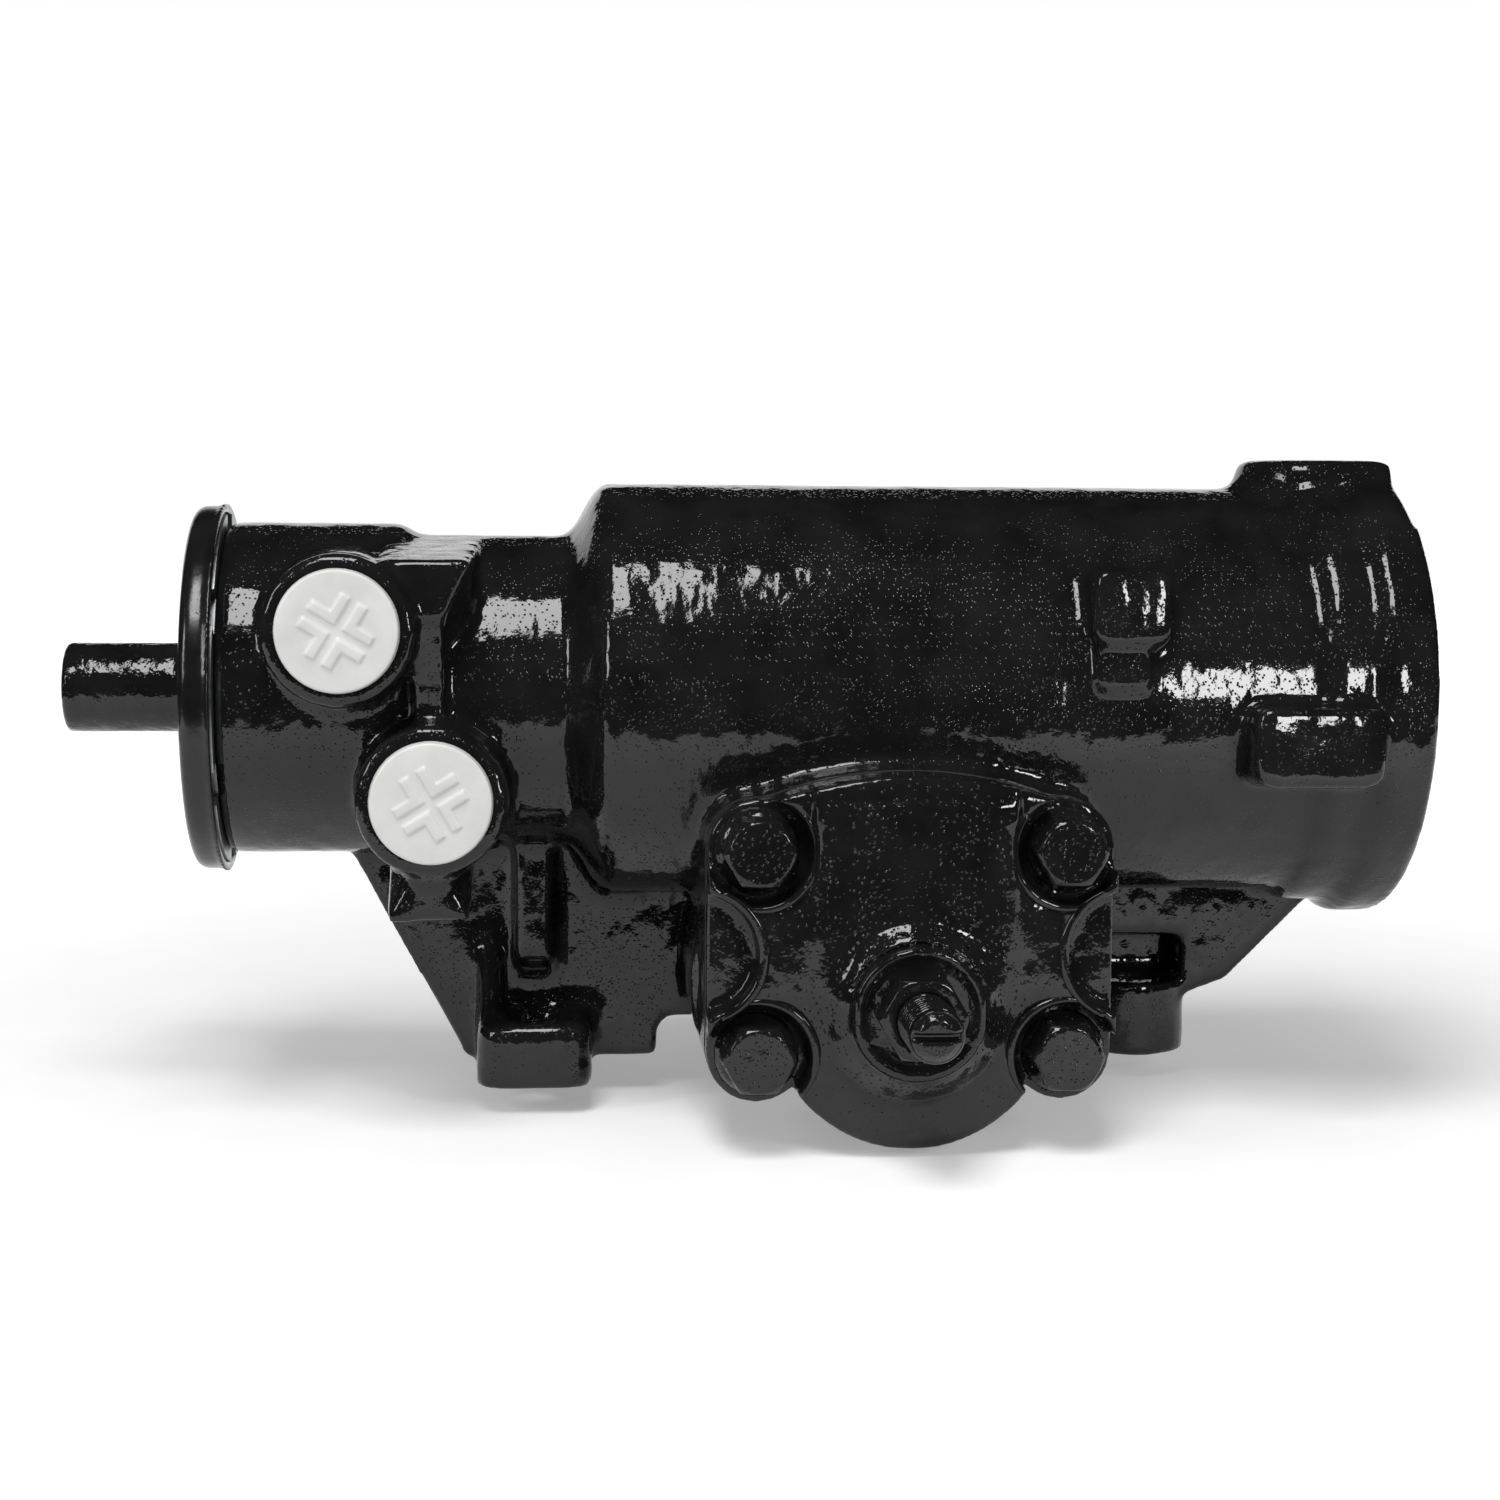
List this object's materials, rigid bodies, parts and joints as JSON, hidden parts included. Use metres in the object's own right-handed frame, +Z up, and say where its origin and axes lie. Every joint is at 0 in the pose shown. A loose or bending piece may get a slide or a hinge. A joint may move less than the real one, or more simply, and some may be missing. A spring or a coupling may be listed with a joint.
{
  "type": "steering gearbox",
  "caption": "Recirculating-ball power steering gearbox: black cast housing, bolted side cover, input shaft with rotary valve, rack piston and a sector shaft for the pitman arm.",
  "frame": {"origin": "on the sector shaft axis, at the middle of the pitman arm seat", "axes": "+X along the worm axis towards the rear end plug, +Y along the sector shaft out of the pitman side, +Z up from the sector shaft to the worm, away from the mounting feet"},
  "size_m": [0.308, 0.2388, 0.1514],
  "materials": {
    "housing_paint": "gloss black paint over rough casting",
    "cap_paint": "gloss black paint on pressed steel",
    "shaft_paint": "gloss black paint over turned steel",
    "gasket": "matt",
    "bronze": "turned",
    "brass": "turned",
    "seal_rubber": "satin",
    "spring_steel": "satin",
    "plain_steel": "machined",
    "bearing_steel": "polished",
    "hard_steel": "ground and oiled",
    "ring_plastic": "satin",
    "white_plastic": "moulded satin"
  },
  "bodies": {
    "housing": {"housing": "housing_paint", "side_cover": "housing_paint", "cover_gasket": "gasket", "cover_bush": "bronze", "cover_bolts": "housing_paint", "lash_screw": "housing_paint", "lash_nut": "housing_paint", "end_plug": "housing_paint", "end_plug_seal": "seal_rubber", "retaining_ring": "spring_steel", "adjuster_plug": "plain_steel", "adjuster_seal": "seal_rubber", "adjuster_lock_nut": "plain_steel", "dust_cap": "cap_paint", "input_seal": "seal_rubber", "input_bearing": "bearing_steel", "upper_thrust_bearing": "bearing_steel", "lower_thrust_bearing": "bearing_steel", "sector_bearing": "bearing_steel", "sector_seals": "seal_rubber", "sector_snap_ring": "spring_steel", "port_seats": "brass"},
    "worm": {"worm": "hard_steel", "worm_pin": "bearing_steel", "torsion_bar": "spring_steel", "valve_sleeve": "plain_steel", "valve_rings": "ring_plastic"},
    "input": {"input_shaft": "shaft_paint", "input_pin": "bearing_steel", "valve_spool": "hard_steel"},
    "rack": {"rack_piston": "hard_steel", "piston_ring": "ring_plastic", "rack_end_plug": "plain_steel", "ball_guide": "spring_steel", "guide_clamp": "plain_steel", "clamp_screws": "plain_steel", "balls": "bearing_steel"},
    "sector": {"sector_shaft": "hard_steel", "arm_nut": "plain_steel", "arm_washer": "plain_steel"},
    "pressure_plug": {"pressure_plug": "white_plastic"},
    "return_plug": {"return_plug": "white_plastic"}
  },
  "joints": [
    {"name": "worm_spin", "type": "hinge", "parent": "housing", "child": "worm", "pos_m": [0, -0.105, 0.064], "axis": [1, 0, 0], "range_deg": [-602.2, 602.2]},
    {"name": "rack_slide", "type": "slide", "parent": "housing", "child": "rack", "axis": [1, 0, 0], "range_m": [-0.02477, 0.02477]},
    {"name": "sector_swing", "type": "hinge", "parent": "housing", "child": "sector", "pos_m": [0, 0, 0], "axis": [0, 1, 0], "range_deg": [-43.01, 43.01]},
    {"name": "valve_twist", "type": "hinge", "parent": "worm", "child": "input", "pos_m": [0, -0.105, 0.064], "axis": [1, 0, 0], "range_deg": [-4, 4], "stiffness_Nm_per_rad": 40},
    {"name": "pressure_plug_pull", "type": "slide", "parent": "housing", "child": "pressure_plug", "axis": [0, -1, 0], "range_m": [0, 0.02]},
    {"name": "return_plug_pull", "type": "slide", "parent": "housing", "child": "return_plug", "axis": [0, -1, 0], "range_m": [0, 0.02]}
  ],
  "couplings": [
    {"joint": "worm_spin", "follows": "rack_slide", "rad_per_m": -424.24},
    {"joint": "sector_swing", "follows": "rack_slide", "rad_per_m": 30.303}
  ]
}
